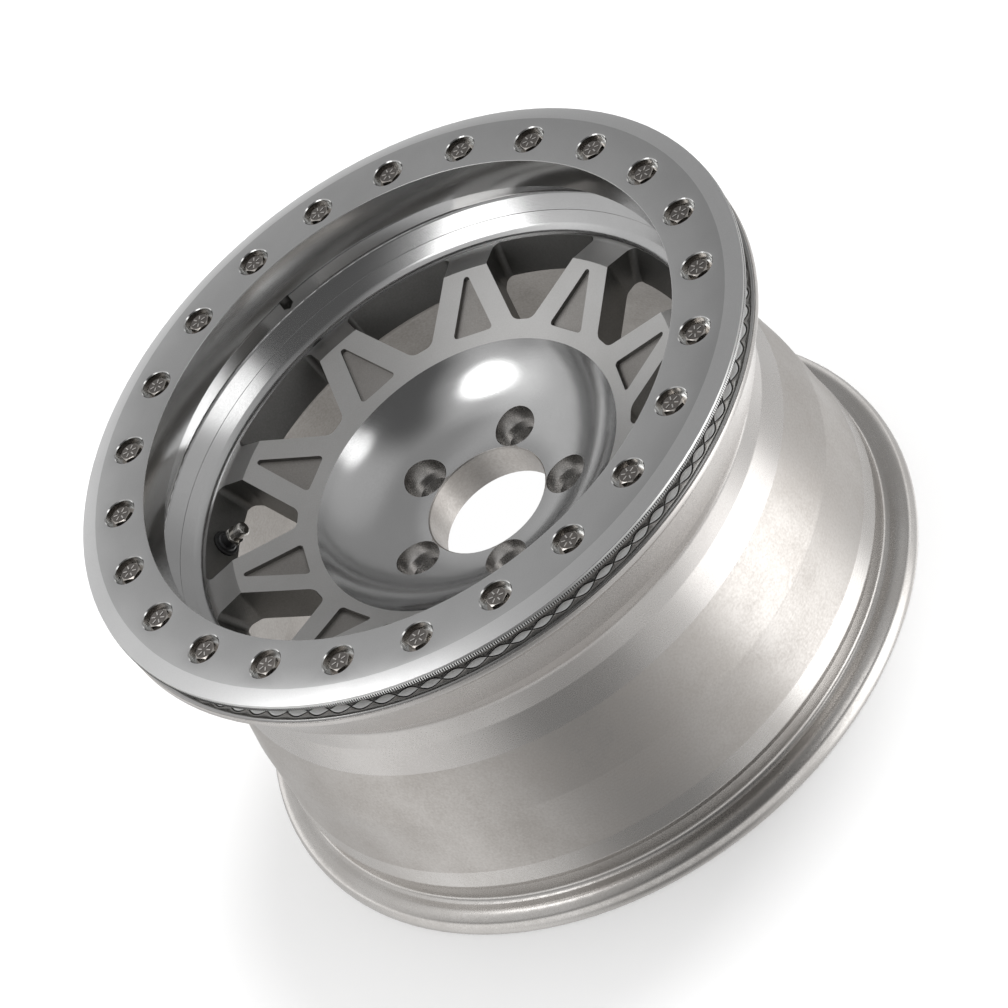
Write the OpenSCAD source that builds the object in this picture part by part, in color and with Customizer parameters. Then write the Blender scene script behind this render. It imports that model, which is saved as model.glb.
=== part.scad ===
// Beadlock wheel for an off-road car, 17 in across the bead seats and 9 in wide.
// The wheel is one machined aluminium piece. A bolted ring clamps the tyre's outboard bead.
// The origin is the centre of the hub mounting face, and +Z points outboard.

/* [Wheel] */
// Height of the clamp ring's front face above the hub mounting face
front_h = 136.5; // [132:0.5:142]
// Depth of the rear flange's edge below the hub mounting face
back_d = 116.5; // [108:0.5:125]
// Diameter of the bead seats
bead_d = 436.6; // [434:0.2:439]
// Thickness of the barrel's wall
rim_t = 7.5; // [6:0.5:9]

/* [Clamp ring] */
// Height of the clamp ring's and the front flange's edge above the bead seats
ring_up = 14.6; // [12.5:0.1:16.5]
// Width of the lock seat, from the bead seat's line to the ring's bore
socket_w = 31.8; // [30:0.1:33.5]
// Thickness of the clamp ring over its seat
ring_t = 13; // [12:0.5:15]
// Thickness of the clamp ring's outer lip
lip_t = 6.8; // [6:0.2:8]
// Width of the bevel round the ring's face
bevel_w = 11; // [8:0.5:12]
// Height of the bevel round the ring's face
bevel_h = 2.8; // [2:0.2:4]

/* [Clamp bolts] */
// Number of clamp bolts
bolt_count = 24; // [24:1:24]
// Distance of the bolts' circle inside the bead seat's line
bolt_in = 14.3; // [13.5:0.1:15.5]
// Diameter of a clamp bolt
bolt_d = 7.9; // [7:0.1:8.4]
// Length of a clamp bolt under its head
bolt_l = 26; // [22:1:30]
// Depth of the four deep tapped holes below the lock seat
deep_hole_l = 33; // [30:0.5:35]
// Width of a bolt head across its flats
head_af = 12.7; // [12:0.1:13.2]
// Height of a bolt head
head_h = 5.2; // [4.6:0.1:5.6]
// Outer diameter of a washer
washer_d = 17.5; // [16.5:0.1:19]
// Thickness of a washer
washer_t = 1.6; // [1.2:0.1:2]
// Diameter of a counterbore in the ring
counterbore_d = 21; // [20:0.2:22]
// Depth of a counterbore in the ring
counterbore_h = 8; // [7.5:0.1:8.5]

/* [Front flange] */
// Height of the lock seat above the flange's front face
socket_h = 7.2; // [6.5:0.1:8]
// Thickness of the flange at its outer edge
flange_t = 3.8; // [3:0.1:5]
// Height of the flange's root above the bead seats
root_up = 6.8; // [6:0.1:8]
// Distance from the flange's front face to its root
root_drop = 12.2; // [10:0.2:14]
// Depth of the shoulder before the drop well, below the bead seats
shoulder_in = 4.7; // [4:0.1:6]
// Distance from the flange's front face to the shoulder
shoulder_drop = 40.2; // [38:0.2:42]

/* [Barrel] */
// Depth of the drop well's floor below the bead seats
well_in = 17.8; // [16:0.1:19]
// Length of the slope from the shoulder to the well's floor
well_slope_l = 18; // [16:0.5:20]
// Length of the well's floor
well_floor_l = 18; // [16:0.5:20]
// Depth below the bead seats where the barrel's slope ends
barrel_in = 5.55; // [4.5:0.05:6.5]
// Distance from the rear edge to the end of the barrel's slope
barrel_end = 90; // [86:1:94]
// Depth of the safety hump's foot below the bead seats
hump_foot_in = 1.3; // [1:0.1:2.2]
// Distance from the rear edge to the foot of the hump
hump_foot = 43; // [41:0.5:46]
// Height of the safety hump above the bead seats
hump_up = 1; // [0.7:0.1:1.6]
// Distance from the rear edge to the hump
hump_pos = 30; // [28:0.5:32]
// Height of the rear flange above the bead seats
rear_up = 17.3; // [16:0.1:18.5]
// Width of the rear flange from its inner face to its edge
rear_w = 13.5; // [12.5:0.5:15]

/* [Front opening] */
// Length of the lock seat's bore
seat_bore_l = 12.5; // [11.5:0.1:13.5]
// Distance of the undercut's wall inside the bead seats
room_in = 14.6; // [13.5:0.1:16]
// Distance from the lock seat down to the top of the undercut's wall
room_top_drop = 26.1; // [25.5:0.1:28]
// Distance from the lock seat down to the foot of the undercut's wall
room_drop = 37.6; // [36.5:0.1:39]
// Radius of the fillet between the undercut's wall and the cone
room_fillet = 4; // [3:0.5:5]
// Distance of the cone's fine step inside the bead seats
step_in = 23.1; // [22:0.1:24]
// Distance from the lock seat down to the cone's fine step
step_drop = 46; // [45:0.1:47]
// Distance of the spokes' feet inside the bead seats
foot_in = 36.3; // [35.5:0.1:37]
// Distance of the cone's inner line outside the spokes' feet
trough_out = 2.5; // [2:0.1:3.5]
// Depth of the cone's inner line below the spokes' feet
trough_drop = 1.5; // [1:0.1:2]
// Radius of the fillet at the cone's foot
foot_fillet = 12; // [9:0.5:13]

/* [Disc] */
// Number of spokes
spoke_count = 10; // [10:1:10]
// Turn of the first spoke from +X
spoke_phase = 22.5; // [20:0.5:25]
// Length of the ramp from the spokes' highest line out to their feet
ramp_l = 23; // [21:0.5:25]
// Fall of the ramp towards the spokes' feet
ramp_fall = 5.8; // [4.5:0.1:7]
// Depth from the ring's face down to the spokes' highest line
dish_drop = 62.5; // [60.5:0.5:64.5]
// Length of the spokes' sloping face, from the bowl's edge to the highest line
face_l = 51.7; // [50:0.1:54]
// Thickness of the spokes along the axis
spoke_t = 28; // [26:0.5:30]
// Half width of a spoke at its highest line
spoke_half = 15.5; // [14.5:0.1:17]
// Turn of a spoke's edges from its centre line
spoke_taper = 18.8; // [17.5:0.1:20]
// Half width of a spoke where it meets the rim
spoke_foot_half = 16.4; // [15.5:0.1:18]
// Half width of the windows at their inner end
window_in_half = 7.1; // [6.5:0.1:8]
// Distance of the windows' outer wall inside the spokes' feet
window_out_in = 0.2; // [0.1:0.1:1]
// Lean of the windows' outer wall
window_lean = 25; // [22:0.5:27]
// Radius of the windows' inner corners
window_in_fillet = 8; // [6:0.5:9]
// Radius of the windows' outer corners
window_out_fillet = 5; // [3:0.5:6]
// Width of a spoke's arm beside its pocket
arm_w = 14.8; // [14:0.1:16]
// Distance of a spoke's pocket from the bowl's edge
pocket_out = 8.5; // [7.5:0.1:9.5]
// Depth of a spoke's pocket
pocket_h = 3; // [2:0.2:4]
// Radius of a pocket's corners
pocket_fillet = 2.1; // [1.5:0.1:2.5]

/* [Hub] */
// Diameter of the centre bore
bore_d = 83.1; // [80:0.1:86]
// Thickness of the hub at the centre bore
hub_t = 25; // [23:0.5:27]
// Fall of the spokes' face from its highest line to the bowl's edge
bowl_drop = 19.8; // [18.5:0.1:21.5]
// Width of the bowl's flat floor round the centre bore
bowl_flat_w = 3.45; // [2.5:0.05:5.5]
// Diameter of the hub's mounting pad
pad_d = 160; // [156:1:166]
// Number of wheel studs
lug_count = 5; // [5:1:5]
// Diameter of the wheel studs' circle
lug_pcd = 114.3; // [112:0.1:116]
// Diameter of a stud hole
lug_d = 15; // [13:0.1:16]
// Diameter of the room for a stud's nut
lug_room_d = 29; // [27:0.2:30]
// Height of the nut's seat above the mounting face
lug_seat_h = 12; // [10:0.5:14]
// Outer diameter of the nut's conical seat
lug_seat_d = 22; // [20:0.2:24]

/* [Valve] */
// Turn of the valve from +X
valve_turn = 112; // [111:0.5:114]
// Distance of the valve's seat below the foot of the ramp
valve_drop = 13; // [11.5:0.1:14.5]
// Diameter of the valve's hole
valve_hole_d = 11.5; // [11:0.1:12]
// Thickness of the wall that holds the valve
valve_wall_t = 6; // [5:0.5:7]
// Diameter of the valve's outer seal
seal_d = 17.6; // [16:0.2:18.4]
// Thickness of the valve's outer seal
seal_t = 2; // [1.5:0.1:2.5]
// Diameter of the valve's stem
stem_d = 7.6; // [7:0.1:7.8]
// Diameter of the sleeve round the stem
sleeve_d = 9.5; // [9:0.1:10]
// Height of the sleeve
sleeve_h = 6.5; // [5.5:0.1:7]
// Width of the valve's nut across its flats
valve_nut_af = 11.6; // [11:0.1:12]
// Outer diameter of the cap
cap_d = 9.8; // [9.4:0.1:10.4]
// Height of the cap
cap_h = 6.1; // [5.6:0.1:7]

/* [Hidden] */
two = 2;
fine = 96;
overrun = 1;
arc_steps = 6;
edge = 0.8;
fit_gap = 0.05;
free_gap = 0.3;
lead_in = 0.4;

// Radii that follow the bead seats, the spokes' feet and the centre bore
bead_r = bead_d / two;
ring_r = bead_r + ring_up;
ring_bore_r = bead_r - socket_w;
bolt_circle_r = bead_r - bolt_in;
root_r = bead_r + root_up;
shoulder_r = bead_r - shoulder_in;
well_r = bead_r - well_in;
barrel_r = bead_r - barrel_in;
hump_foot_r = bead_r - hump_foot_in;
hump_r = bead_r + hump_up;
rear_r = bead_r + rear_up;
room_r = bead_r - room_in;
step_r = bead_r - step_in;
foot_r = bead_r - foot_in;
trough_r = foot_r + trough_out;
peak_r = foot_r - ramp_l;
bowl_r = peak_r - face_l;
pocket_in_r = bowl_r + pocket_out;
window_out_r = foot_r - window_out_in;
bore_r = bore_d / two;
bowl_flat_r = bore_r + bowl_flat_w;
pad_r = pad_d / two;
lug_r = lug_pcd / two;

// Heights above the mounting face
lock_z = front_h - ring_t;
flange_z = lock_z - socket_h;
root_z = flange_z - root_drop;
shoulder_z = flange_z - shoulder_drop;
well_top_z = shoulder_z - well_slope_l;
well_low_z = well_top_z - well_floor_l;
rear_z = -back_d;
peak_h = front_h - dish_drop;
valley_h = peak_h - ramp_fall;
bowl_h = peak_h - bowl_drop;
valve_h = valley_h - valve_drop;
disc_back_z = peak_h - spoke_t;
seat_low_z = lock_z - seat_bore_l;
room_top_z = lock_z - room_top_drop;
room_z = lock_z - room_drop;
step_z = lock_z - step_drop;
trough_z = valley_h - trough_drop;

// Named angles
turn = 360;
quarter = 90;
spoke_step = turn / spoke_count;
bolt_step = turn / bolt_count;
lug_step = turn / lug_count;
window_phase = spoke_phase + spoke_step / two;
lug_phase = spoke_phase - spoke_step / two;
head_turn = 37;
deep_bolts = [0, 4, 12, 16];

// Small sizes of the ring and the wheel
ring_lip_chamfer = 1.4;
counterbore_rim = 0.6;
tapped_extra = 2;
drill_half_angle = 59;
room_top_fillet = 2;
step_h = 0.5;
rear_lip_r = 10.5;
rear_lip_t = 5.6;
rear_seat_fillet = 4;
gusset_out = 8;
gusset_drop = 13.5;
gusset_end_out = 14;
gusset_end_drop = 21.5;
gusset_fillet = 2;
hub_fillet = 11;
hub_back_in = 12.3;
pad_chamfer = 2;
corner_stock = 12;
bowl_steps = 18;
nut_seat_angle = 30;

// Small sizes of the bolts
head_bevel = 0.3;
head_bevel_angle = 30;
hex_corner = 30;
dash_count = 6;
dash_l = 2.9;
dash_w = 0.8;
dash_h = 0.3;
dash_in = 1.9;

// Small sizes of the valve, along its axis from the wall
spot_h = 0.5;
spot_gap = 0.8;
valve_room_d = 21;
valve_washer_d = 13.4;
valve_washer_t = 1.5;
valve_nut_t = 2.4;
bare_stem_h = 3.4;
stem_bore_d = 5.3;
stem_head_d = 16;
stem_head_t = 2.6;
bush_flange_t = 1.8;
core_d = 5.2;
core_l = 14;
core_pin_d = 1.4;
core_pin_h = 1.2;
cap_wall_d = 7.7;
cap_seal_t = 0.9;
cap_roof_t = 1.2;
cap_dome_h = 1.6;

// Points of an arc that rounds the corner b between a and c
function unit(v) = v / norm(v);
function arc_sweep(a) = a > turn / two ? a - turn : a < -turn / two ? a + turn : a;
function corner(a, b, c, r) =
    let (u = unit(a - b),
         v = unit(c - b),
         half = acos(u * v) / two,
         m = b + unit(u + v) * r / sin(half),
         p = b + u * r / tan(half) - m,
         q = b + v * r / tan(half) - m,
         start = atan2(p[1], p[0]),
         sweep = arc_sweep(atan2(q[1], q[0]) - start))
    [for (k = [0:arc_steps]) m + r * [cos(start + sweep * k / arc_steps), sin(start + sweep * k / arc_steps)]];

// An outline of [x, y, corner radius] rows with its corners rounded
function rounded(rows) =
    let (n = len(rows), flat = [for (row = rows) [row[0], row[1]]])
    [for (i = [0:n - 1]) each rows[i][2] > 0
        ? corner(flat[(i + n - 1) % n], flat[i], flat[(i + 1) % n], rows[i][2])
        : [flat[i]]];

// The polished bowl is an arc that leaves its flat floor smoothly and ends at its edge
bowl_rise = bowl_h - hub_t;
bowl_arc_r = (pow(bowl_r - bowl_flat_r, 2) + pow(bowl_rise, 2)) / (two * bowl_rise);
bowl_span = asin((bowl_r - bowl_flat_r) / bowl_arc_r);
function bowl_points() = [for (k = [0:bowl_steps])
    let (a = bowl_span * k / bowl_steps)
    [bowl_flat_r + bowl_arc_r * sin(a), hub_t + bowl_arc_r * (1 - cos(a)), 0]];

// Radius of the window's outer wall at a height
function window_wall(z) = window_out_r - (valley_h - z) * tan(window_lean);

// Section of the wheel, from the front flange round the barrel, hub, cone and undercut
function wheel_section() = rounded(concat(
    [[ring_bore_r, lock_z, 0],
     [bead_r, lock_z, edge],
     [bead_r, flange_z, 0],
     [ring_r, flange_z, edge],
     [ring_r, flange_z - flange_t, edge],
     [root_r, root_z, edge],
     [shoulder_r, shoulder_z, edge],
     [well_r, well_top_z, well_slope_l / two],
     [well_r, well_low_z, well_floor_l / two],
     [barrel_r, rear_z + barrel_end, well_floor_l],
     [hump_foot_r, rear_z + hump_foot, well_floor_l / two],
     [hump_r, rear_z + hump_pos, rear_seat_fillet],
     [bead_r, rear_z + hump_pos - rear_seat_fillet, rear_seat_fillet / two],
     [bead_r, rear_z + rear_w, rear_seat_fillet],
     [rear_r, rear_z + rear_w, rear_lip_r],
     [rear_r, rear_z, edge],
     [rear_r - rear_lip_t, rear_z, edge],
     [rear_r - rear_lip_t, rear_z + rear_w - rim_t, rear_lip_r - rear_lip_t],
     [bead_r - rim_t, rear_z + rear_w - rim_t, rear_seat_fillet + rim_t],
     [bead_r - rim_t, rear_z + hump_foot, well_floor_l],
     [barrel_r - rim_t, rear_z + barrel_end, well_floor_l],
     [foot_r + gusset_end_out, disc_back_z - gusset_end_drop, well_floor_l / two],
     [foot_r + gusset_out, disc_back_z - gusset_drop, well_floor_l / two],
     [window_wall(disc_back_z), disc_back_z, gusset_fillet],
     [peak_r, disc_back_z, well_floor_l],
     [bowl_r, bowl_h - spoke_t, hub_fillet],
     [bowl_r - hub_back_in, bowl_h - spoke_t - rim_t, hub_fillet / two],
     [pad_r + pad_chamfer, pad_chamfer, 0],
     [pad_r, 0, 0],
     [bore_r, 0, 0],
     [bore_r, hub_t - edge, 0],
     [bore_r + edge, hub_t, 0]],
    bowl_points(),
    [[peak_r, peak_h, edge],
     [trough_r, trough_z, foot_fillet],
     [step_r, step_z - step_h, 0],
     [step_r, step_z, 0],
     [room_r, room_z, room_fillet],
     [room_r, room_top_z, room_top_fillet],
     [ring_bore_r, seat_low_z, lead_in]]));

// Outline of one window, about +X
half_step = spoke_step / two;
function turned(p) = [p[0] * cos(half_step) + p[1] * sin(half_step), p[1] * cos(half_step) - p[0] * sin(half_step)];
spoke_low = turned([peak_r, spoke_half]);
spoke_foot = turned([foot_r + edge, spoke_foot_half]);
flank = half_step + spoke_taper;
window_in_r = spoke_low[0] - (-spoke_low[1] - window_in_half) / tan(flank);
function window_outline() = rounded([
    [window_in_r, -window_in_half, window_in_fillet],
    [spoke_low[0], spoke_low[1], window_in_fillet],
    [spoke_foot[0], spoke_foot[1], 0],
    [ring_r, spoke_foot[1], 0],
    [ring_r, -spoke_foot[1], 0],
    [spoke_foot[0], -spoke_foot[1], 0],
    [spoke_low[0], -spoke_low[1], window_in_fillet],
    [window_in_r, window_in_half, window_in_fillet]]);

// Room that a window may take: everything inside its leaning outer wall
function window_room() = [
    [0, disc_back_z - spoke_t],
    [window_wall(disc_back_z - spoke_t), disc_back_z - spoke_t],
    [window_out_r, valley_h],
    [window_out_r, peak_h + overrun],
    [0, peak_h + overrun]];

// Stock left in a window's outer corner, outside a round that leans with the outer wall
foot_lean = atan2(spoke_low[1] - spoke_foot[1], spoke_foot[0] - spoke_low[0]);
foot_normal = [sin(foot_lean), -cos(foot_lean)];
corner_side = foot_normal * [spoke_low[0], -spoke_low[1]] + window_out_fillet;
corner_reach = window_out_r - window_out_fillet / cos(window_lean);
corner_along = sqrt(pow(corner_reach, 2) - pow(corner_side, 2));
module window_corner() {
    depth = spoke_t + spoke_t;
    translate([
        foot_normal[0] * corner_side + cos(foot_lean) * corner_along,
        foot_normal[1] * corner_side + sin(foot_lean) * corner_along,
        valley_h])
        rotate([0, 0, foot_lean]) rotate([0, window_lean, 0]) difference() {
            translate([0, 0, -depth])
                cube([corner_stock, corner_stock, depth + spoke_t]);
            translate([0, 0, -depth - overrun])
                cylinder(h = depth + depth, r = window_out_fillet + fit_gap, $fn = fine);
        }
}

module window() {
    difference() {
        intersection() {
            translate([0, 0, disc_back_z - spoke_t])
                linear_extrude(spoke_t + spoke_t + overrun) polygon(window_outline());
            rotate_extrude($fn = fine) polygon(window_room());
        }
        window_corner();
        mirror([0, 1, 0]) window_corner();
    }
}

// The pocket in a spoke is a triangle whose floor follows the spoke's sloping face
pocket_half = spoke_half + (peak_r - pocket_in_r) * tan(spoke_taper) - arm_w / cos(spoke_taper);
pocket_tip_r = pocket_in_r + pocket_half / tan(spoke_taper);
function face_h(r) = bowl_h + (r - bowl_r) * (peak_h - bowl_h) / (peak_r - bowl_r);
function pocket_outline() = rounded([
    [pocket_in_r, -pocket_half, pocket_fillet],
    [pocket_tip_r, 0, pocket_fillet],
    [pocket_in_r, pocket_half, pocket_fillet]]);
function pocket_room() = [
    [bowl_r, face_h(bowl_r) - pocket_h],
    [peak_r, face_h(peak_r) - pocket_h],
    [peak_r, peak_h + overrun],
    [bowl_r, peak_h + overrun]];

module pocket() {
    intersection() {
        translate([0, 0, disc_back_z])
            linear_extrude(spoke_t + overrun) polygon(pocket_outline());
        rotate_extrude($fn = fine) polygon(pocket_room());
    }
}

// Room for a stud's nut, its conical seat and the stud hole
module lug_hole() {
    seat_r = lug_seat_d / two;
    hole_r = lug_d / two;
    seat_depth = (seat_r - hole_r) / tan(nut_seat_angle);
    rotate_extrude($fn = fine) polygon([
        [0, -overrun],
        [hole_r, -overrun],
        [hole_r, lug_seat_h - seat_depth],
        [seat_r, lug_seat_h],
        [lug_room_d / two, lug_seat_h],
        [lug_room_d / two, bowl_h],
        [0, bowl_h]]);
}

// A tapped hole drilled so deep that it breaks out through the undercut's wall
module deep_hole() {
    hole_r = bolt_d / two + fit_gap;
    rotate_extrude($fn = fine) polygon([
        [0, -hole_r / tan(drill_half_angle)],
        [hole_r, 0],
        [hole_r, deep_hole_l],
        [0, deep_hole_l]]);
}

// Puts the valve's parts in place: their own +Z runs from the wall towards the hub
module at_valve() {
    rotate([0, 0, valve_turn])
        translate([window_wall(valve_h), 0, valve_h])
            rotate([0, window_lean - quarter, 0])
                children();
}

module valve_cuts() {
    at_valve() {
        translate([0, 0, -valve_wall_t - overrun])
            cylinder(h = valve_wall_t + spot_h + overrun, d = valve_hole_d, $fn = fine);
        translate([0, 0, -spot_h])
            cylinder(h = seal_t + spot_h, d = seal_d + spot_gap, $fn = fine);
        translate([0, 0, -valve_wall_t - spoke_t])
            cylinder(h = spoke_t, d = valve_room_d, $fn = fine);
    }
}

module wheel_body() {
    color("silver") difference() {
        rotate_extrude($fn = fine) polygon(wheel_section());
        for (i = [0:spoke_count - 1]) {
            rotate([0, 0, window_phase + i * spoke_step]) window();
            rotate([0, 0, spoke_phase + i * spoke_step]) pocket();
        }
        for (i = [0:lug_count - 1])
            rotate([0, 0, lug_phase + i * lug_step]) translate([lug_r, 0, 0]) lug_hole();
        for (i = [0:bolt_count - 1])
            rotate([0, 0, i * bolt_step])
                translate([bolt_circle_r, 0, lock_z - bolt_l - tapped_extra + ring_t - counterbore_h + washer_t])
                    cylinder(h = bolt_l + tapped_extra, d = bolt_d + two * fit_gap, $fn = fine);
        for (i = deep_bolts)
            rotate([0, 0, i * bolt_step]) translate([bolt_circle_r, 0, lock_z - deep_hole_l]) deep_hole();
        valve_cuts();
    }
}

// Section of the clamp ring: a flat face, a long bevel and a lip over the tyre's bead
function ring_section() = rounded([
    [ring_bore_r, front_h - ring_t, 0],
    [ring_bore_r, front_h, lead_in],
    [ring_r - bevel_w, front_h, 0],
    [ring_r, front_h - bevel_h, lead_in],
    [ring_r, front_h - lip_t, 0],
    [ring_r - ring_lip_chamfer, front_h - lip_t, 0],
    [bead_r, front_h - lip_t, 0],
    [bead_r - lead_in, front_h - ring_t, 0]]);

module beadlock_ring() {
    color("gainsboro") difference() {
        rotate_extrude($fn = fine) polygon(ring_section());
        for (i = [0:bolt_count - 1])
            rotate([0, 0, i * bolt_step]) translate([bolt_circle_r, 0, 0]) {
                translate([0, 0, front_h - ring_t - overrun])
                    cylinder(h = ring_t + overrun, d = bolt_d + free_gap + free_gap, $fn = fine);
                rotate_extrude($fn = fine) polygon([
                    [0, front_h - counterbore_h],
                    [counterbore_d / two, front_h - counterbore_h],
                    [counterbore_d / two, front_h - counterbore_rim],
                    [counterbore_d / two + counterbore_rim, front_h],
                    [counterbore_d / two + counterbore_rim, front_h + overrun],
                    [0, front_h + overrun]]);
            }
    }
}

// Heights of the clamp bolts' washers and heads
washer_z = front_h - counterbore_h;
head_z = washer_z + washer_t;

// Hexagon head with a turned bevel and six short strength dashes, on a plain shank
module clamp_bolt(i) {
    head_r = head_af / two;
    color("silver") rotate([0, 0, i * bolt_step]) translate([bolt_circle_r, 0, 0])
        rotate([0, 0, i * head_turn]) {
            intersection() {
                translate([0, 0, head_z])
                    cylinder(h = head_h, r = head_r / cos(hex_corner), $fn = 6);
                rotate_extrude($fn = fine) polygon([
                    [0, head_z],
                    [head_af, head_z],
                    [head_af, head_z + head_h - (head_r + head_bevel) * tan(head_bevel_angle)],
                    [head_r - head_bevel, head_z + head_h],
                    [0, head_z + head_h]]);
            }
            for (k = [0:dash_count - 1])
                rotate([0, 0, k * turn / dash_count])
                    translate([dash_in, -dash_w / two, head_z + head_h - dash_h])
                        cube([dash_l, dash_w, dash_h + dash_h]);
            rotate_extrude($fn = fine) polygon([
                [0, head_z + head_h / two],
                [bolt_d / two, head_z + head_h / two],
                [bolt_d / two, head_z - bolt_l + edge],
                [bolt_d / two - edge, head_z - bolt_l],
                [0, head_z - bolt_l]]);
        }
}

module clamp_washer(i) {
    color("darkgray") rotate([0, 0, i * bolt_step]) translate([bolt_circle_r, 0, washer_z])
        difference() {
            cylinder(h = washer_t, d = washer_d, $fn = fine);
            translate([0, 0, -overrun])
                cylinder(h = washer_t + overrun + overrun, d = bolt_d + free_gap + free_gap, $fn = fine);
        }
}

// Heights along the valve's axis, from the wall's spot face
seal_z = -spot_h;
valve_washer_z = seal_z + seal_t;
sleeve_z = valve_washer_z + valve_washer_t;
nut_z = sleeve_z + sleeve_h;
cap_z = nut_z + valve_nut_t + bare_stem_h;
stem_top_z = cap_z + cap_h - cap_roof_t - cap_seal_t - free_gap;
stem_low_z = -valve_wall_t - bush_flange_t - stem_head_t;

// Rubber ring that shows round the valve's foot
module valve_seal() {
    color("dimgray") at_valve() translate([0, 0, seal_z])
        rotate_extrude($fn = fine) polygon(rounded([
            [stem_d / two + fit_gap, 0, 0],
            [seal_d / two, 0, 0],
            [seal_d / two, seal_t, edge],
            [stem_d / two + fit_gap, seal_t, 0]]));
}

// Rubber bush in the hole, with a flange on the tyre's side
module valve_bush() {
    color("dimgray") at_valve() rotate_extrude($fn = fine) polygon([
        [stem_d / two + fit_gap, -valve_wall_t - bush_flange_t],
        [stem_head_d / two, -valve_wall_t - bush_flange_t],
        [stem_head_d / two, -valve_wall_t],
        [valve_hole_d / two - fit_gap, -valve_wall_t],
        [valve_hole_d / two - fit_gap, seal_z],
        [stem_d / two + fit_gap, seal_z]]);
}

// Black washer with a bright bevelled rim
module valve_washer() {
    color("darkslategray") at_valve() rotate_extrude($fn = fine) polygon([
        [stem_d / two + fit_gap, valve_washer_z],
        [valve_washer_d / two, valve_washer_z],
        [valve_washer_d / two, valve_washer_z + valve_washer_t - edge],
        [valve_washer_d / two - edge, valve_washer_z + valve_washer_t],
        [stem_d / two + fit_gap, valve_washer_z + valve_washer_t]]);
}

// Bright stem: a head on the tyre's side and a threaded end with a bore
module valve_stem() {
    color("gainsboro") at_valve() rotate_extrude($fn = fine) polygon([
        [stem_bore_d / two, stem_low_z],
        [stem_head_d / two, stem_low_z],
        [stem_head_d / two, stem_low_z + stem_head_t],
        [stem_d / two, stem_low_z + stem_head_t],
        [stem_d / two, stem_top_z - lead_in],
        [stem_d / two - lead_in, stem_top_z],
        [stem_bore_d / two, stem_top_z]]);
}

// Black sleeve between the washer and the nut
module valve_sleeve() {
    color("darkslategray") at_valve() rotate_extrude($fn = fine) polygon([
        [stem_d / two + fit_gap, sleeve_z],
        [sleeve_d / two, sleeve_z],
        [sleeve_d / two, sleeve_z + sleeve_h - lead_in],
        [sleeve_d / two - lead_in, sleeve_z + sleeve_h],
        [stem_d / two + fit_gap, sleeve_z + sleeve_h]]);
}

// Bright hexagon nut on the stem's thread
module valve_nut() {
    nut_r = valve_nut_af / two;
    color("gainsboro") at_valve() difference() {
        intersection() {
            translate([0, 0, nut_z])
                cylinder(h = valve_nut_t, r = nut_r / cos(hex_corner), $fn = 6);
            rotate_extrude($fn = fine) polygon([
                [0, nut_z],
                [nut_r, nut_z],
                [nut_r + edge, nut_z + lead_in],
                [nut_r + edge, nut_z + valve_nut_t - lead_in],
                [nut_r, nut_z + valve_nut_t],
                [0, nut_z + valve_nut_t]]);
        }
        translate([0, 0, nut_z - overrun])
            cylinder(h = valve_nut_t + overrun + overrun, d = stem_d + two * fit_gap, $fn = fine);
    }
}

// Brass core inside the stem, with the pin that lets air in
module valve_core() {
    color("goldenrod") at_valve() rotate_extrude($fn = fine) polygon([
        [0, stem_top_z - core_l],
        [core_d / two, stem_top_z - core_l],
        [core_d / two, stem_top_z - core_pin_h],
        [core_pin_d / two, stem_top_z - core_pin_h],
        [core_pin_d / two, stem_top_z],
        [0, stem_top_z]]);
}

// Bright cap with a domed end, open below
module valve_cap() {
    cap_r = cap_d / two;
    color("gainsboro") at_valve() translate([0, 0, cap_z])
        rotate_extrude($fn = fine) polygon(rounded([
            [cap_wall_d / two, 0, 0],
            [cap_r, 0, lead_in],
            [cap_r, cap_h - lead_in, cap_dome_h],
            [0, cap_h, 0],
            [0, cap_h - cap_roof_t, 0],
            [cap_wall_d / two, cap_h - cap_roof_t, 0]]));
}

// Rubber disc in the roof of the cap
module cap_seal() {
    color("dimgray") at_valve()
        translate([0, 0, cap_z + cap_h - cap_roof_t - cap_seal_t])
            cylinder(h = cap_seal_t, d = cap_wall_d - two * fit_gap, $fn = fine);
}

function two_digits(i) = i < 9 ? str("0", i + 1) : str(i + 1);
bolt_nodes = [for (i = [0:bolt_count - 1]) str("bolt_", two_digits(i))];
washer_nodes = [for (i = [0:bolt_count - 1]) str("washer_", two_digits(i))];

wheel_body();
beadlock_ring();
for (i = [0:bolt_count - 1]) {
    clamp_bolt(i);
    clamp_washer(i);
}
valve_stem();
valve_bush();
valve_seal();
valve_washer();
valve_sleeve();
valve_nut();
valve_core();
valve_cap();
cap_seal();
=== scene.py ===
import math

import bpy
import numpy as np
from mathutils import Matrix, Vector


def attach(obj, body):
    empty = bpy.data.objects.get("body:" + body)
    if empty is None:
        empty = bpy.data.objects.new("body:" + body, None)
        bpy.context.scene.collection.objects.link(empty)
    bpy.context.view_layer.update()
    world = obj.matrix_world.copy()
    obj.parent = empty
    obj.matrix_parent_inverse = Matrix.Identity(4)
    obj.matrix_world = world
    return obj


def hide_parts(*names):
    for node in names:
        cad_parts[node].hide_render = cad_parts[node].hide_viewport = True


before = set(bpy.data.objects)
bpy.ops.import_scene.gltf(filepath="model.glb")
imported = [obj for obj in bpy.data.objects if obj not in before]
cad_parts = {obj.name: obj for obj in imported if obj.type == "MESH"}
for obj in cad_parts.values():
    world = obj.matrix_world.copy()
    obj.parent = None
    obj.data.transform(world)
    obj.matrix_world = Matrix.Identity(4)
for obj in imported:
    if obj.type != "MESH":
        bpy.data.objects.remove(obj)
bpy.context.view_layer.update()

# Wheel body: one piece of 6061 aluminium, forged and then turned and milled all over.
# The dish and the front wall are polished, the spokes' faces are milled, and the
# rear barrel keeps the coarser look of its spinning and rough turning.


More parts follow.
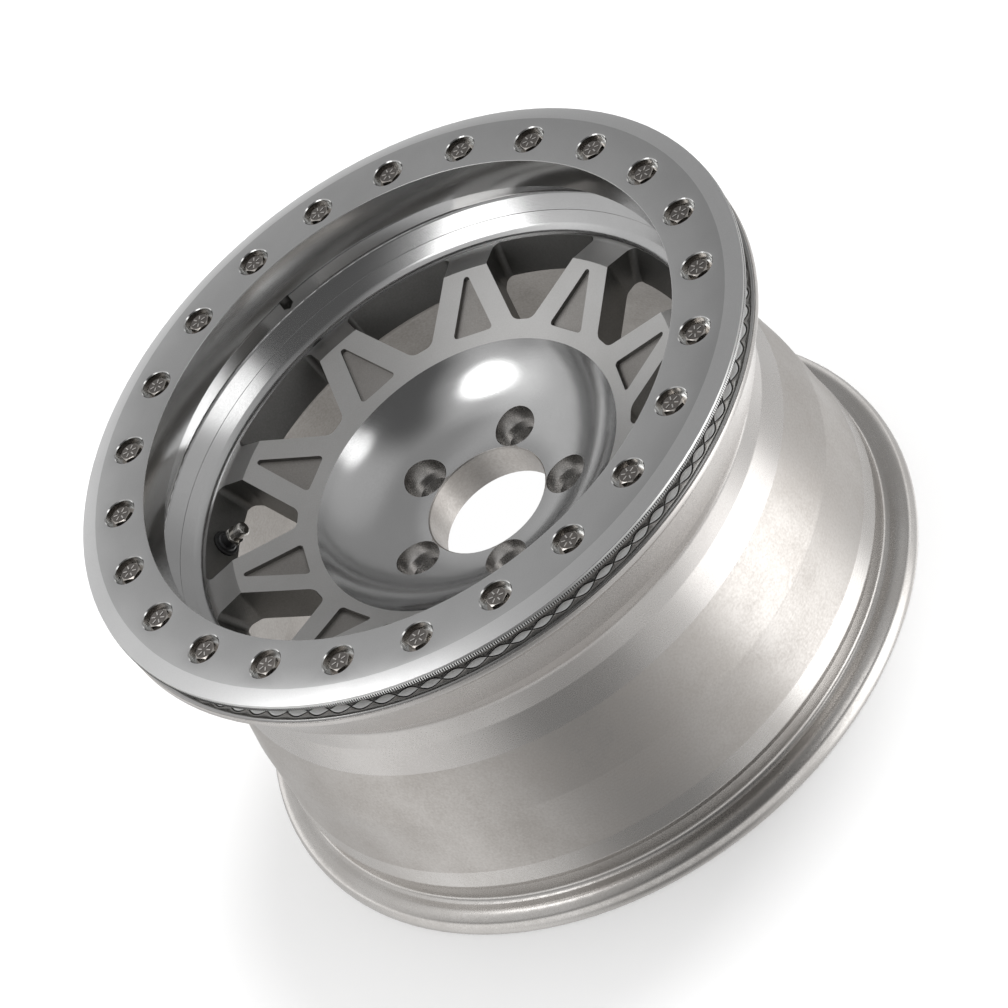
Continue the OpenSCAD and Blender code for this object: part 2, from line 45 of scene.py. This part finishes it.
def linear(hex_colour):
    """The linear colour of an sRGB hex value, by the sRGB curve."""
    values = [int(hex_colour[i:i + 2], 16) / 255 for i in (1, 3, 5)]
    return [v / 12.92 if v <= 0.04045 else ((v + 0.055) / 1.055) ** 2.4 for v in values] + [1.0]


def put(tree, kind, links=(), sockets=(), **settings):
    """Adds one node with its settings, socket values and incoming links, and returns it."""
    made = tree.nodes.new(kind)
    for key, value in settings.items():
        setattr(made, key, value)
    for key, value in dict(sockets).items():
        made.inputs[key].default_value = value
    for key, source in dict(links).items():
        tree.links.new(source, made.inputs[key])
    return made


def metal(name, colour, worn, rough, rough_far, grain_mm, line_mm, line_depth, brushed=0.0, speck=0.3):
    """A bare metal. Noise of the grain's size mixes two tones and two roughnesses, and
    a sine of the radius plus the height gives the tool's rings, line_mm apart, while
    speck is the grain's share in the relief."""
    material = bpy.data.materials.new(name)
    material.use_nodes = True
    tree = material.node_tree
    tree.nodes.clear()
    place = put(tree, "ShaderNodeTexCoord").outputs["Object"]
    grain = put(tree, "ShaderNodeTexNoise", {"Vector": place}, {"Scale": 1000 / grain_mm, "Detail": 3.0, "Roughness": 0.6})
    cloud = put(tree, "ShaderNodeTexNoise", {"Vector": place}, {"Scale": 22.0, "Detail": 4.0, "Roughness": 0.55})
    both = put(tree, "ShaderNodeMath", {0: grain.outputs["Fac"], 1: cloud.outputs["Fac"]}, operation="ADD")
    share = put(tree, "ShaderNodeMapRange", {"Value": both.outputs[0]}, {"From Min": 0.75, "From Max": 1.25})
    tone = put(tree, "ShaderNodeMix", {"Factor": share.outputs[0]}, {"A": linear(colour), "B": linear(worn)}, data_type="RGBA")
    tone_out = tone.outputs["Result"]
    roughness = put(tree, "ShaderNodeMapRange", {"Value": share.outputs[0]}, {"To Min": rough, "To Max": rough_far})
    flat = put(tree, "ShaderNodeVectorMath", {0: place}, {1: (1.0, 1.0, 0.0)}, operation="MULTIPLY")
    radius = put(tree, "ShaderNodeVectorMath", {0: flat.outputs[0]}, operation="LENGTH")
    height = put(tree, "ShaderNodeSeparateXYZ", {"Vector": place}).outputs["Z"]
    along = put(tree, "ShaderNodeMath", {0: radius.outputs["Value"], 1: height}, operation="ADD")
    phase = put(tree, "ShaderNodeMath", {0: along.outputs[0]}, {1: 2000 * math.pi / line_mm}, operation="MULTIPLY")
    rings = put(tree, "ShaderNodeMath", {0: phase.outputs[0]}, operation="SINE")
    pits = put(tree, "ShaderNodeMath", {0: grain.outputs["Fac"]}, {1: speck * 4}, operation="MULTIPLY")
    mixed = put(tree, "ShaderNodeMath", {0: rings.outputs[0], 1: pits.outputs[0]}, operation="ADD")
    bump = put(tree, "ShaderNodeBump", {"Height": mixed.outputs[0]}, {"Strength": 1.0, "Distance": line_depth / 1000})
    links = {"Base Color": tone_out, "Roughness": roughness.outputs[0], "Normal": bump.outputs[0]}
    sockets = {"Metallic": 1.0, "Anisotropic": brushed}
    if brushed:
        links["Tangent"] = put(tree, "ShaderNodeTangent", direction_type="RADIAL", axis="Z").outputs[0]
    shader = put(tree, "ShaderNodeBsdfPrincipled", links, sockets)
    put(tree, "ShaderNodeOutputMaterial", {"Surface": shader.outputs[0]})
    return material


def merged(node):
    """Points and triangles of a CAD node, with its doubled points made one."""
    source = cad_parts[node].data
    points = np.zeros(len(source.vertices) * 3)
    source.vertices.foreach_get("co", points)
    source.calc_loop_triangles()
    tris = np.zeros(len(source.loop_triangles) * 3, np.int64)
    source.loop_triangles.foreach_get("vertices", tris)
    keys = np.round(points.reshape(-1, 3) * 1e6).astype(np.int64)
    unique, back = np.unique(keys, axis=0, return_inverse=True)
    tris = back.reshape(-1)[tris].reshape(-1, 3)
    whole = (tris[:, 0] != tris[:, 1]) & (tris[:, 1] != tris[:, 2]) & (tris[:, 0] != tris[:, 2])
    return unique / 1e6, tris[whole]


def turned_normals(points, tris, faces):
    """For the triangles of turned surfaces, a normal for each corner: the section's own normal,
    turned to the corner's place, and the mean of the bands that meet there at under 22 degrees."""
    corner = points[tris[faces]]
    middle = corner.mean(1)
    spin = np.arctan2(middle[:, 1], middle[:, 0])
    a, b = corner[:, 1] - corner[:, 0], corner[:, 2] - corner[:, 0]
    n = np.cross(a, b)
    n /= np.linalg.norm(n, axis=1)[:, None]
    lean = np.arctan2(n[:, 2], n[:, 0] * np.cos(spin) + n[:, 1] * np.sin(spin))
    r = np.round(np.hypot(corner[..., 0], corner[..., 1]) * 2e4).astype(np.int64)
    z = np.round(corner[..., 2] * 2e4).astype(np.int64)
    step = np.round(np.degrees(lean) * 2).astype(np.int64)
    rows = np.stack([r, z, np.repeat(step[:, None], 3, 1)], -1).reshape(-1, 3)
    bands, which = np.unique(rows, axis=0, return_inverse=True)
    place, place_of = np.unique(bands[:, :2], axis=0, return_inverse=True)
    place_of = place_of.reshape(-1)
    order = np.argsort(place_of, kind="stable")
    angle = np.radians(bands[:, 2] / 2)
    total = np.stack([np.cos(angle), np.sin(angle)], 1)
    for shift in range(1, 6):
        for one, other in ((order[:-shift], order[shift:]), (order[shift:], order[:-shift])):
            near = (place_of[one] == place_of[other]) & (np.cos(angle[one] - angle[other]) > math.cos(math.radians(22)))
            np.add.at(total, one[near], np.stack([np.cos(angle[other[near]]), np.sin(angle[other[near]])], 1))
    total /= np.linalg.norm(total, axis=1)[:, None]
    mean = total[which.reshape(-1)]
    turn = np.arctan2(corner[..., 1], corner[..., 0]).reshape(-1)
    return np.stack([mean[:, 0] * np.cos(turn), mean[:, 0] * np.sin(turn), mean[:, 1]], 1)


def dressed(node, name, materials, sort_faces):
    """A merged copy of a CAD node that stands in for it, with smooth turned surfaces, and the
    material of each face chosen by sort_faces from its middle and its normal."""
    points, tris = merged(node)
    mesh = bpy.data.meshes.new(name)
    mesh.from_pydata(points, [], tris)
    mesh.update()
    count = len(mesh.polygons)
    normals = np.zeros(count * 3)
    mesh.polygons.foreach_get("normal", normals)
    normals = normals.reshape(-1, 3)
    middles = points[tris].mean(1)
    radius = np.hypot(middles[:, 0], middles[:, 1]) + 1e-9
    out = (normals[:, 0] * middles[:, 0] + normals[:, 1] * middles[:, 1]) / radius
    side = np.abs(normals[:, 1] * middles[:, 0] - normals[:, 0] * middles[:, 1]) / radius
    for material in materials:
        mesh.materials.append(material)
    mesh.polygons.foreach_set("material_index", sort_faces(middles * 1000, radius * 1000, out, normals[:, 2], side).astype(np.int32))
    mesh.polygons.foreach_set("use_smooth", np.ones(count, bool))
    mesh.set_sharp_from_angle(angle=math.radians(25))
    mesh.update()
    corners = np.zeros(len(mesh.loops) * 3)
    mesh.corner_normals.foreach_get("vector", corners)
    corners = corners.reshape(-1, 3, 3)
    turned = np.nonzero(side < 0.02)[0]
    corners[turned] = turned_normals(points, tris, turned).reshape(-1, 3, 3)
    mesh.normals_split_custom_set(corners.reshape(-1, 3).tolist())
    piece = bpy.data.objects.new(name, mesh)
    bpy.context.scene.collection.objects.link(piece)
    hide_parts(node)
    return piece


polished = metal("polished_aluminium", "#dadada", "#d2d2d2", 0.13, 0.19, 0.9, 1.3, 0.0012, 0.3, 0.1)
milled = metal("milled_aluminium", "#dddcdb", "#d3d2d0", 0.3, 0.36, 0.8, 1.3, 0.002)
# The window walls are milled like the spokes. Their darker tone is painted shade for the dark inside that they reflect.
walls = metal("milled_window_wall_painted_shade", "#8f8e8c", "#838280", 0.4, 0.48, 1.2, 1.6, 0.006)
coarse = metal("rough_turned_aluminium", "#d0ccc8", "#bfbab5", 0.3, 0.42, 1.6, 2.2, 0.008)
smooth_turned = metal("fine_turned_aluminium", "#dad7d4", "#cfcbc8", 0.23, 0.31, 0.9, 1.5, 0.0012, 0.2, 0.1)
bore_turned = metal("bright_bored_aluminium", "#d0cecc", "#c2c0be", 0.22, 0.3, 0.9, 1.1, 0.002, 0.3, 0.2)
# The inside of the barrel is rough spun metal. Its darker tone is painted shade for the shadow inside the wheel.
inner_barrel_painted_shade = metal("spun_inner_aluminium_painted_shade", "#a39f9b", "#938f8a", 0.36, 0.46, 1.6, 2.2, 0.008)
seat_turned = metal("turned_bead_seat", "#dcd9d6", "#cdc9c5", 0.24, 0.32, 1.2, 1.8, 0.004, 0.0, 0.3)
blasted = metal("milled_pocket_floor", "#b5b2af", "#a39f9b", 0.42, 0.52, 0.9, 1.4, 0.006, 0.0, 0.8)


def wheel_finish(middle, radius, out, up, side):
    """Finish of each face: 0 polished bowl, cone and undercut, 1 milled spokes, 2 window walls, darker as painted
    shade,
    3 rough barrel and back, 4 fine turned bands and flange, 5 stud recesses, 6 pocket floors,
    7 inside of the barrel, darker as painted shade, 8 rear bead seat and flange."""
    x, y, z = middle.T
    finish = np.full(len(radius), 2)
    turned = side < 0.02
    finish[turned & (radius > 181.9) & (z > 66) & (out < 0.9)] = 0
    finish[(up > 0.1) & (radius < 107.6) & turned & (z > 20)] = 0
    finish[(up > 0.5) & (radius >= 107.6) & (radius < 182) & (z > 40)] = 1
    finish[turned & (radius >= 107.6) & (radius < 160) & (up > 0.8) & (z < 54.2 + (radius - 107.3) * 0.383 - 1.5)] = 6
    finish[turned & (up < 0.3) & (z < 46.6)] = 3
    finish[turned & (z < 38.6) & (radius > 186)] = 3
    finish[turned & (z < -60) & (radius > 205) & ((up > 0.16) | (z < -80))] = 8
    finish[turned & (out < -0.5) & (z > 97.5) & (z < 111.5) & (up > 0.3)] = 4
    finish[turned & (radius > 207) & (z > 17.65)] = 4
    finish[turned & (radius > 199) & (z > 17.65) & (z < 80) & (out > 0)] = 4
    finish[turned & (out < 0) & (z < 40) & (radius > 150)] = 7
    finish[turned & (radius < 43)] = 3
    turns = np.degrees(np.arctan2(y, x)) - 4.5
    off = np.radians(turns - 72 * np.round(turns / 72))
    reach = np.hypot(radius * np.cos(off) - 57.15, radius * np.sin(off))
    finish[(reach < 14.7) & (z > 0.5) & (z < 54)] = 5
    return finish


wheel = dressed("wheel_body", "wheel_body_skin", [polished, milled, walls, coarse, smooth_turned, bore_turned, blasted, inner_barrel_painted_shade, seat_turned],
                wheel_finish)
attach(wheel, "wheel")


def grip_relief():
    """Points and faces of the flange's grip for the tyre's bead. Two grooves wave in opposite
    phase, r = 224.6 +- 3.4 |sin 46a|, and enclose 92 domed lenses. With d mm from the nearer
    groove, h = 0.7 (1 - exp(-(d / 0.6)^2)), and each lens swells by 0.3 mm more."""
    around = 92 * 18
    a = np.arange(around) * 2 * np.pi / around
    wave = 3.4 * np.abs(np.sin(46 * a))
    low, high, middle = 224.6 - wave, 224.6 + wave, np.full(around, 224.6)
    flat = [np.full(around, r) for r in (218.5, 218.5, 219.2, 220.0, 229.4, 231.6, 231.9)]
    rows = flat[:4] + [low - 1.0, low - 0.5, low, np.minimum(low + 0.5, middle), np.minimum(low + 1.3, middle), middle,
                       np.maximum(high - 1.3, middle), np.maximum(high - 0.5, middle), high, high + 0.5, high + 1.0] + flat[4:]
    r = np.stack(rows)
    near = np.minimum(np.abs(r - low), np.abs(r - high))
    h = 0.7 * (1 - np.exp(-(near / 0.6) ** 2))
    h[9] += 0.3 * (wave / 3.4) ** 2
    h[0], h[-1] = -0.1, -0.1
    points = np.stack([r * np.cos(a), r * np.sin(a), 116.3 + h], -1).reshape(-1, 3) / 1000
    i, j = np.meshgrid(np.arange(len(rows) - 1), np.arange(around), indexing="ij")
    k = (j + 1) % around
    return points, np.stack([i * around + j, (i + 1) * around + j, (i + 1) * around + k, i * around + k], -1).reshape(-1, 4)


grip_points, grip_faces = grip_relief()
grip_mesh = bpy.data.meshes.new("bead_grip")
grip_mesh.from_pydata(grip_points, [], grip_faces)
grip_mesh.polygons.foreach_set("use_smooth", np.ones(len(grip_faces), bool))
# The lens tops are coined metal, painted near-white and made partly non-metallic so that they catch more light: a
# painted highlight.
coined_painted_highlight = metal("coined_aluminium_painted_highlight", "#f4f4f3", "#ebebea", 0.3, 0.36, 0.9, 1.3, 0.0004, 0.0, 0.1)
coined_painted_highlight.node_tree.nodes["Principled BSDF"].inputs["Metallic"].default_value = 0.25
# Painted shade: a near-black copy of the metal for the groove sides of the grip and the roots of the lip's teeth.
painted_shade_root = metal("painted_shade_tool_root", "#3d3c3b", "#343332", 0.4, 0.5, 0.9, 1.3, 0.0004, 0.0, 0.1)
grip_ground = metal("bright_grip_ground", "#bcbbba", "#b0afae", 0.12, 0.18, 0.9, 1.3, 0.0004, 0.0, 0.1)
for coat in (grip_ground, painted_shade_root, coined_painted_highlight):
    grip_mesh.materials.append(coat)
# The rows along the grooves get the painted shade, and the lens tops get the painted highlight. The rest is the plain
# ground.
row_of = np.repeat(np.arange(17), 92 * 18)
coat_of_row = np.array([0, 0, 0, 0, 0, 1, 1, 2, 2, 2, 2, 1, 1, 0, 0, 0, 0])
grip_mesh.polygons.foreach_set("material_index", coat_of_row[row_of].astype(np.int32))
grip = bpy.data.objects.new("bead_grip", grip_mesh)
bpy.context.scene.collection.objects.link(grip)
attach(grip, "wheel")

# Clamp ring: turned from aluminium plate, with a satin face and a long bright bevel.
# It lies on the wheel's lock seat and presses the tyre's outboard bead onto the flange.
ring_face = metal("satin_ring_aluminium", "#d0d0d0", "#c6c6c6", 0.36, 0.42, 0.7, 1.2, 0.002)
ring_bevel = metal("satin_bevel_aluminium", "#eeeeee", "#e5e5e5", 0.3, 0.36, 0.7, 1.2, 0.001, 0.0, 0.2)
ring_cut = metal("bright_cut_aluminium", "#dcdcdb", "#d2d2d1", 0.14, 0.2, 0.9, 1.3, 0.001, 0.0, 0.1)


def ring_finish(middle, radius, out, up, side):
    """0 satin face, 1 bevel, 2 counterbores, bore and edges."""
    finish = np.full(len(radius), 2)
    finish[(up > 0.995) & (middle[:, 2] > 136)] = 0
    finish[(up > 0.9) & (up < 0.99) & (radius > 221)] = 1
    return finish


def knurl_relief():
    """Points and faces of the fine upright teeth round the lip's lower half: 920 steps of
    height 0.2 mm on a cylinder of radius 232.9 mm, r = 233.0 + 0.2 (j mod 2). The real teeth
    are about 1 mm apart and these are 1.6 mm apart, so that they show in the render."""
    around = 1840
    a = np.arange(around) * 2 * np.pi / around
    crest = 233.0 + 0.2 * (np.arange(around) % 2)
    rows = [(np.full(around, 232.7), 129.8), (crest, 129.9), (crest, 131.9), (np.full(around, 232.7), 132.1)]
    points = np.concatenate([np.stack([r * np.cos(a), r * np.sin(a), np.full(around, z)], -1) for r, z in rows]) / 1000
    i, j = np.meshgrid(np.arange(3), np.arange(around), indexing="ij")
    k = (j + 1) % around
    return points, np.stack([i * around + j, i * around + k, (i + 1) * around + k, (i + 1) * around + j], -1).reshape(-1, 4)


knurl_points, knurl_faces = knurl_relief()
knurl_mesh = bpy.data.meshes.new("lip_knurl")
knurl_mesh.from_pydata(knurl_points, [], knurl_faces)
knurl_mesh.materials.append(ring_cut)
knurl_mesh.materials.append(painted_shade_root)
# Every other facet of the teeth gets the painted shade, so that the roots read dark.
knurl_mesh.polygons.foreach_set("material_index", (np.arange(3 * 1840) % 2).astype(np.int32))
knurl = bpy.data.objects.new("lip_knurl", knurl_mesh)
bpy.context.scene.collection.objects.link(knurl)
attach(knurl, "wheel")

ring = dressed("beadlock_ring", "clamp_ring_skin", [ring_face, ring_bevel, ring_cut], ring_finish)
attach(ring, "wheel")

# Clamp bolts and washers: steel with a thin nickel or zinc coat, tightened by a wrench.
# The heads carry six short strength dashes, and each has stopped at its own angle.
bolt_steel = metal("nickel_plated_steel", "#cfcac5", "#bdb7b1", 0.14, 0.24, 0.8, 1.5, 0.002)
washer_steel = metal("zinc_plated_steel", "#c0bbb6", "#aea8a2", 0.2, 0.3, 0.8, 1.5, 0.003)
# The dashes get a lighter copy of the nickel as a painted highlight, and the flat top around them gets a darker copy as
# painted shade.
dash_highlight_steel = metal("nickel_dash_painted_highlight", "#f2efec", "#e6e2de", 0.2, 0.3, 0.8, 1.5, 0.001)
top_shade_steel = metal("nickel_top_painted_shade", "#8d8884", "#777370", 0.22, 0.34, 0.5, 1.5, 0.003, 0.0, 1.0)
for number in range(1, 25):
    for kind, coats in (("bolt", [bolt_steel, dash_highlight_steel, top_shade_steel]), ("washer", [washer_steel])):
        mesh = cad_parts["%s_%02d" % (kind, number)].data
        mesh.materials.clear()
        for coat in coats:
            mesh.materials.append(coat)
        if kind == "bolt":
            centres, normals = np.zeros(len(mesh.polygons) * 3), np.zeros(len(mesh.polygons) * 3)
            mesh.polygons.foreach_get("center", centres)
            mesh.polygons.foreach_get("normal", normals)
            height, up = centres[2::3] * 1000, normals[2::3]
            # Faces above 135.45 mm are the dashes and get the painted highlight. The rest of the top gets the painted
            # shade.
            part = np.where((height > 135.25) & (up > 0.9), np.where(height > 135.45, 1, 2), 0)
            mesh.polygons.foreach_set("material_index", part.astype(np.int32))

# Valve: a bright stem clamped through the window's outer wall, with black anodised
# washer and sleeve, rubber seals, a flat nut and a domed metal cap.
bright = metal("nickel_plated_brass", "#d9d7d3", "#cfccc6", 0.1, 0.16, 0.6, 1.1, 0.002)
brass = metal("turned_brass", "#c9a35c", "#bb9550", 0.25, 0.32, 0.6, 1.1, 0.002)


def dark(name, colour, worn, rough, shine):
    """A dark coat or rubber: two tones and a fine grain in the bump."""
    material = bpy.data.materials.new(name)
    material.use_nodes = True
    tree = material.node_tree
    tree.nodes.clear()
    place = put(tree, "ShaderNodeTexCoord").outputs["Object"]
    grain = put(tree, "ShaderNodeTexNoise", {"Vector": place}, {"Scale": 1400.0, "Detail": 3.0})
    tone = put(tree, "ShaderNodeMix", {"Factor": grain.outputs["Fac"]}, {"A": linear(colour), "B": linear(worn)}, data_type="RGBA")
    bump = put(tree, "ShaderNodeBump", {"Height": grain.outputs["Fac"]}, {"Strength": 0.6, "Distance": 0.00005})
    shader = put(tree, "ShaderNodeBsdfPrincipled", {"Base Color": tone.outputs["Result"], "Normal": bump.outputs[0]},
                 {"Roughness": rough, "Specular IOR Level": shine})
    put(tree, "ShaderNodeOutputMaterial", {"Surface": shader.outputs[0]})
    return material


rubber = dark("moulded_rubber", "#151515", "#1f1f1f", 0.6, 0.4)
anodised = dark("black_anodised_aluminium", "#1b1b1c", "#2a2a2b", 0.3, 0.6)
for name, coat in (("valve_stem", bright), ("valve_nut", bright), ("valve_cap", bright), ("valve_washer", anodised),
                   ("valve_sleeve", anodised), ("valve_bush", rubber), ("valve_seal", rubber), ("cap_seal", rubber),
                   ("valve_core", brass)):
    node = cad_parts[name]
    node.data.materials.clear()
    node.data.materials.append(coat)

# Studio: a white floor under the wheel's rear flange, soft fill from above, and a sky
# that is white round the horizon, grey overhead, with a few broad soft boxes.
floor_mesh = bpy.data.meshes.new("floor")
reach, ground = 60.0, -0.1165
floor_mesh.from_pydata([(-reach, -reach, ground), (reach, -reach, ground), (reach, reach, ground), (-reach, reach, ground)], [], [(0, 1, 2, 3)])
floor = bpy.data.objects.new("floor", floor_mesh)
bpy.context.scene.collection.objects.link(floor)
paper = bpy.data.materials.new("white_paper")
paper.use_nodes = True
tree = paper.node_tree
tree.nodes.clear()
sheet = put(tree, "ShaderNodeBsdfPrincipled", (), {"Base Color": linear("#f9f9f9"), "Roughness": 0.9, "Specular IOR Level": 0.0})
# Within 0.19 m of the axis, under the wheel, the floor glows white to camera, glossy and transmission rays. This is
# painted light that hides the wheel's shadow seen through the hub bore.
under_wheel_glow = put(tree, "ShaderNodeEmission", (), {"Color": (1.0, 1.0, 1.0, 1.0), "Strength": 1.0})
ray = put(tree, "ShaderNodeLightPath")
seen = put(tree, "ShaderNodeMath", {0: ray.outputs["Is Camera Ray"], 1: ray.outputs["Is Glossy Ray"]}, operation="ADD")
seen = put(tree, "ShaderNodeMath", {0: seen.outputs[0], 1: ray.outputs["Is Transmission Ray"]}, operation="ADD")
spread = put(tree, "ShaderNodeVectorMath", {0: put(tree, "ShaderNodeTexCoord").outputs["Object"]}, {1: (1.0, 1.0, 0.0)}, operation="MULTIPLY")
spread = put(tree, "ShaderNodeVectorMath", {0: spread.outputs[0]}, operation="LENGTH")
inside = put(tree, "ShaderNodeMath", {0: spread.outputs["Value"]}, {1: 0.19}, operation="LESS_THAN")
share = put(tree, "ShaderNodeMath", {0: seen.outputs[0], 1: inside.outputs[0]}, operation="MULTIPLY", use_clamp=True)
shader = put(tree, "ShaderNodeMixShader", {0: share.outputs[0], 1: sheet.outputs[0], 2: under_wheel_glow.outputs[0]})
put(tree, "ShaderNodeOutputMaterial", {"Surface": shader.outputs[0]})
floor_mesh.materials.append(paper)
floor.visible_glossy = False
floor.visible_shadow = False


def direction(azimuth, elevation):
    """The unit vector at an azimuth from +X and an elevation above the floor, in degrees."""
    a, e = math.radians(azimuth), math.radians(elevation)
    return (math.cos(e) * math.cos(a), math.cos(e) * math.sin(a), math.sin(e))


sky = bpy.data.worlds.new("studio")
bpy.context.scene.world = sky
sky.use_nodes = True
tree = sky.node_tree
tree.nodes.clear()
look = put(tree, "ShaderNodeTexCoord").outputs["Generated"]
rise = put(tree, "ShaderNodeSeparateXYZ", {"Vector": look}).outputs["Z"]
away = put(tree, "ShaderNodeMath", {0: rise}, operation="ABSOLUTE").outputs[0]
level = put(tree, "ShaderNodeMapRange", {"Value": away}, {"From Min": 0.07, "From Max": 0.29, "To Min": 0.65, "To Max": 0.0},
            interpolation_type="SMOOTHSTEP").outputs[0]
base = put(tree, "ShaderNodeMapRange", {"Value": rise}, {"From Min": -0.3, "From Max": -0.05, "To Min": 0.6, "To Max": 0.3})
level = put(tree, "ShaderNodeMath", {0: level, 1: base.outputs[0]}, operation="ADD").outputs[0]
for azimuth, elevation, inner, outer, strength in (
        (95, 28, 24, 44, 0.3), (150, 56, 14, 36, 0.3), (-73, 44, 5, 13, 1.3), (-40, 50, 12, 32, 0.17), (-130, 55, 20, 42, -0.2),
        (-66, -20, 8, 32, 1.6), (145, -28, 8, 30, 0.25), (8, -62, 6, 28, 0.8), (-145, -20, 12, 34, -0.4)):
    near = put(tree, "ShaderNodeVectorMath", {0: look}, {1: direction(azimuth, elevation)}, operation="DOT_PRODUCT")
    box = put(tree, "ShaderNodeMapRange", {"Value": near.outputs["Value"]},
              {"From Min": math.cos(math.radians(outer)), "From Max": math.cos(math.radians(inner)), "To Max": strength},
              interpolation_type="SMOOTHSTEP")
    level = put(tree, "ShaderNodeMath", {0: level, 1: box.outputs[0]}, operation="ADD").outputs[0]
glow = put(tree, "ShaderNodeBackground", {"Strength": level}, {"Color": (1.0, 1.0, 1.0, 1.0)})
put(tree, "ShaderNodeOutputWorld", {"Surface": glow.outputs[0]})

for name, azimuth, elevation, power, width in (("fill", 63, 85, 1.9, 150), ("key", 5, 60, 1.2, 24)):
    lamp = bpy.data.lights.new(name, "SUN")
    lamp.energy = power
    lamp.angle = math.radians(width)
    holder = bpy.data.objects.new(name, lamp)
    holder.rotation_euler = Vector(direction(azimuth, elevation)).to_track_quat("Z", "Y").to_euler()
    holder.visible_glossy = False
    bpy.context.scene.collection.objects.link(holder)

box = bpy.data.lights.new("soft_box", "AREA")
box.shape = "DISK"
box.size = 0.34
box.energy = 1.8 * math.pi * math.pi * 0.17 ** 2
box_holder = bpy.data.objects.new("soft_box", box)
box_place = Vector((-0.27, 0.22, 0.65))
box_holder.matrix_world = Matrix.Translation(box_place) @ box_place.to_track_quat("Z", "Y").to_matrix().to_4x4()
bpy.context.scene.collection.objects.link(box_holder)

# Camera: at the photograph's place, with its long lens and its roll.
spot, aim, picture_up = Vector((-1.2312, -1.6745, 1.8041)), Vector((0.0094, 0.0012, 0.0075)), Vector((0.804, 0.0408, 0.5932))
back = (spot - aim).normalized()
across = picture_up.cross(back).normalized()
camera = bpy.data.objects.new("camera", bpy.data.cameras.new("camera"))
camera.data.lens = 154.02
camera.data.sensor_width = 36.0
camera.data.clip_end = 200.0
camera.matrix_world = Matrix.Translation(spot) @ Matrix((across, back.cross(across), back)).transposed().to_4x4()
bpy.context.scene.collection.objects.link(camera)
bpy.context.scene.camera = camera
bpy.context.scene.view_settings.view_transform = "Standard"
